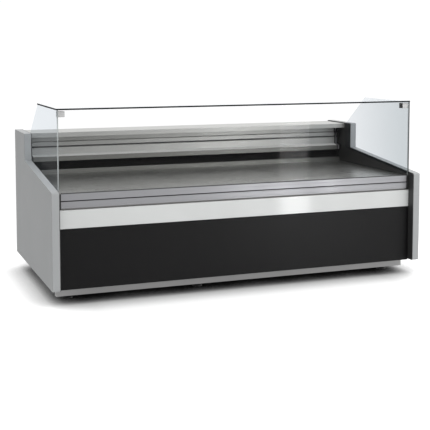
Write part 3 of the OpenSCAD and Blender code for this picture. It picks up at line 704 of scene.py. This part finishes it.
def add_door_pulls(width=42.0, height=120.0, depth=22.0, from_edge=28.0):
    """Moulded cup in each storage door's pull recess, with a lip that lies on the door."""
    for node in sorted(n for n in SLOT if n.startswith("storage_door_")):
        low, high = box_mm(node)
        x = high.x - from_edge - width / 2
        z = (low.z + high.z) / 2
        face = high.y
        rings = [
            frame_ring(x, z, width - 4, height - 4, face - depth + 1, 5),
            frame_ring(x, z, width - 0.6, height - 0.6, face - depth + 5, 2),
            frame_ring(x, z, width - 0.6, height - 0.6, face + 0.05, 2),
            frame_ring(x, z, width + 12, height + 12, face + 0.05, 8),
            frame_ring(x, z, width + 12, height + 12, face + 0.9, 8),
            frame_ring(x, z, width + 10.6, height + 10.6, face + 1.6, 7.3),
            frame_ring(x, z, width + 1, height + 1, face + 1.6, 4),
            frame_ring(x, z, width - 1.4, height - 1.4, face + 1.2, 3.6),
            frame_ring(x, z, width - 3, height - 3, face - 0.6, 3.4),
            frame_ring(x, z, width - 4, height - 4, face - depth + 6, 3),
            frame_ring(x, z, width - 9, height - 9, face - depth + 2.4, 2.4),
        ]
        name = node.replace("door", "pull")
        cup = joined([loft(rings)])
        piece = add_piece(name, cup, [MATERIAL["black_plastic"]], node)


def add_louvres(columns=(36.0, 306.0), rows=12, pitch=25.0, first=49.0, length=250.0):
    """Slanted blades behind the slots of the machine room's grille."""
    low, high = box_mm("machine_grille")
    skin = high.y - 1.55
    blades = []
    for column in columns:
        for i in range(rows):
            z = low.z + first + i * pitch
            outline = [(skin, z + 13), (skin - 1, z + 13), (skin - 1, z + 9.6),
                       (skin - 9, z + 0.4), (skin - 8.4, z - 0.4), (skin, z + 9)]
            x = low.x + column
            blades.append(prism(outline, x - 3, x + length + 3))
    add_piece("grille_louvres", joined(blades), [MATERIAL["fascia_grey"]], "machine_grille")


def add_controls():
    """Display lens with its unlit figures, dished buttons and a rim round the rocker."""
    low, high = box_mm("controller")
    face = high.y
    z = (low.z + high.z) / 2
    middle = (low.x + high.x) / 2 + 8
    lens = loft([
        frame_ring(middle, z, 55.4, 31.4, face - 0.98, 1.5),
        frame_ring(middle, z, 55.4, 31.4, face - 0.3, 1.5),
        frame_ring(middle, z, 54.4, 30.4, face - 0.05, 1.2),
    ])
    add_piece("display_lens", joined([lens]), [MATERIAL["lens"]], "controller")
    bars = []
    tall, wide, stroke = 17.0, 10.0, 1.9
    for figure in (-1, 0, 1):
        at = middle - figure * 15
        for up in (-1, 0, 1):
            bars.append(frame_ring(at, z + up * tall / 2, wide - 2.4, stroke,
                                   face - 0.06, 0.9, 2))
        for side in (-1, 1):
            for up in (-1, 1):
                bars.append(frame_ring(at + side * wide / 2, z + up * tall / 4,
                                       stroke, tall / 2 - 1.4, face - 0.06, 0.9, 2))
    solids = [loft([bar, [(px, face + 0.04, pz) for px, _, pz in bar]]) for bar in bars]
    add_piece("display_figures", joined(solids), [MATERIAL["segment"]], "controller")
    for node in ("button_1", "button_2", "button_3"):
        b_low, b_high = box_mm(node)
        centre = ((b_low.x + b_high.x) / 2, b_low.y, (b_low.z + b_high.z) / 2)
        cap = [(0, 3.4), (0.4, 3.95), (2, 3.95), (2.1, 5.3), (2.4, 5.5), (5.2, 5.5), (5.5, 5.2),
               (5.6, 3.95), (11.1, 3.95), (11.7, 3.7), (12, 3.1), (11.8, 2.3), (11.5, 1.2),
               (11.4, 0.4)]
        bm = joined([lathe(cap, centre, (0, 1, 0))])
        add_piece(node + ".fine", bm, [MATERIAL["button_grey"]], node, replaces=True)
    r_low, r_high = box_mm("rocker_switch")
    across = (r_low.x + r_high.x) / 2
    rim = [(28, 40, 0.02, 3), (28, 40, 0.9, 3), (27, 39, 1.4, 2.6), (22.6, 33.8, 1.4, 1),
           (21.7, 32.9, 0.9, 0.6), (21.7, 32.9, 0.02, 0.6)]
    rings = [frame_ring(across, z, w, h, face + up, corner) for w, h, up, corner in rim]
    ring = joined([loft(rings, loop=True)])
    add_piece("rocker_rim", ring, [MATERIAL["black_plastic"]], "controller")


for node, (width, segments) in ROUNDING.items():
    add_refined(node, width, segments)
for node, looks in PANES.items():
    add_pane(node, *looks)
add_air_grille()
add_riser()
add_tub_liner()
add_profile("glass_shoe", (24.0,))
add_profile("glass_rail", (9.0, 36.0))
add_seals()
add_edge_trim()
add_catches()
add_feet()
add_fascia_screws()
add_gland()
add_door_pulls()
add_louvres()
add_controls()

stood_for = {n for o in scene.objects if "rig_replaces" in o for n in o["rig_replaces"]}
for node, piece in frame["nodes"].items():
    if node not in stood_for:
        piece.data.materials.clear()
        piece.data.materials.append(MATERIAL[SLOT[node]])


# ---- stage ----


def add_floor(size=40, contact=0.3):
    """Pale floor with a painted contact shadow close to the case, where ambient occlusion darkens
    its colour and its glow, less so beside its two ends, where a painted glow lifts it.
    """
    s = Shader("floor")
    # Painted contact shadow: ambient occlusion darkens the floor's colour and glow near the case
    open_part = s.node("AmbientOcclusion", {"Distance": contact}, samples=12).outputs["AO"]
    near = s.spread(open_part, 0, 1, 0.2, 0.9)
    tone = s.mix(near, grey(0.015), grey(0.4))
    diffuse = s.node("BsdfDiffuse", {"Color": tone}).outputs[0]
    place = s.node("TexCoord").outputs["Object"]
    along = s.maths("ABSOLUTE", s.node("SeparateXYZ", {0: place}).outputs["X"], 0)
    reach = s.node("VectorMath", {0: place}, operation="LENGTH").outputs["Value"]
    # Painted light: extra glow beside the two ends of the case lightens the shadow there
    beside, within = s.spread(along, 0, 0.38, 1.05, 1.32), s.spread(reach, 1, 0, 1.6, 2.3)
    fill = s.maths("ADD", s.maths("MULTIPLY", beside, within), 0.6)
    values = {"Color": grey(1.0), "Strength": s.maths("MULTIPLY", near, fill)}
    painted_glow = s.node("Emission", values).outputs[0]
    s.node("OutputMaterial", {"Surface": s.node("AddShader", {0: diffuse, 1: painted_glow}).outputs[0]})
    mesh = bpy.data.meshes.new("floor")
    corners = [(-size, -size, 0), (size, -size, 0), (size, size, 0), (-size, size, 0)]
    mesh.from_pydata(corners, [], [(0, 1, 2, 3)])
    mesh.materials.append(s.owner)
    floor = bpy.data.objects.new("floor", mesh)
    scene.collection.objects.link(floor)
    floor.visible_glossy = False


def add_area(name, place, target, size, power, mirrored):
    """Soft light panel; one that isn't mirrored leaves no bright rectangle in metal or glass."""
    data = bpy.data.lights.new(name, "AREA")
    data.shape = "RECTANGLE"
    data.size, data.size_y = size
    data.energy = power
    light = bpy.data.objects.new(name, data)
    light.location = place
    aim = Vector(target) - Vector(place)
    light.rotation_euler = aim.to_track_quat("-Z", "Y").to_euler()
    light.visible_glossy = mirrored
    scene.collection.objects.link(light)


def add_world(level=0.72, slopes=(0.6, 0.2, 0.55), least=0.2, backdrop=1.02):
    """White for the camera, and a soft room for light and gloss.

    The room's light is level, plus slopes for how far a direction points to +X, +Y and +Z.
    """
    s = Shader("studio", bpy.data.worlds)
    direction = s.node("SeparateXYZ", {0: s.node("TexCoord").outputs["Generated"]})
    room = level
    for way, slope in zip(direction.outputs, slopes):
        room = s.node("Math", {0: way, 1: slope, 2: room}, operation="MULTIPLY_ADD").outputs[0]
    room = s.maths("MAXIMUM", room, least)
    seen = s.node("LightPath").outputs["Is Camera Ray"]
    strength = s.node("Mix", {0: seen, 2: room, 3: backdrop}, data_type="FLOAT").outputs[0]
    background = s.node("Background", {"Color": grey(1.0), "Strength": strength})
    s.node("OutputWorld", {"Surface": background.outputs[0]})
    scene.world = s.owner


def add_camera(place, turn, dip, lens, shift):
    """Camera that looks down by dip and to the right of +Y by turn, both in degrees."""
    data = bpy.data.cameras.new("camera")
    data.sensor_width = 36
    data.lens = lens
    data.shift_y = shift
    camera = bpy.data.objects.new("camera", data)
    camera.location = place
    camera.rotation_euler = (math.radians(90 - dip), 0, math.radians(-turn))
    scene.collection.objects.link(camera)
    scene.camera = camera


add_floor()
add_world()
add_area("strip", place=(2.48, -5.0, 0.7), target=(0, 0, 0.7), size=(0.34, 2.8), power=36,
         mirrored=True)
add_area("key", place=(0.6, -3.6, 4.3), target=(0, -0.2, 0.7), size=(3.4, 2.2), power=120,
         mirrored=False)
add_camera((-2.46504, -6.46578, 1.60847), turn=20.9518, dip=4.8462, lens=81.445, shift=-0.2)
scene.view_settings.view_transform = "Standard"
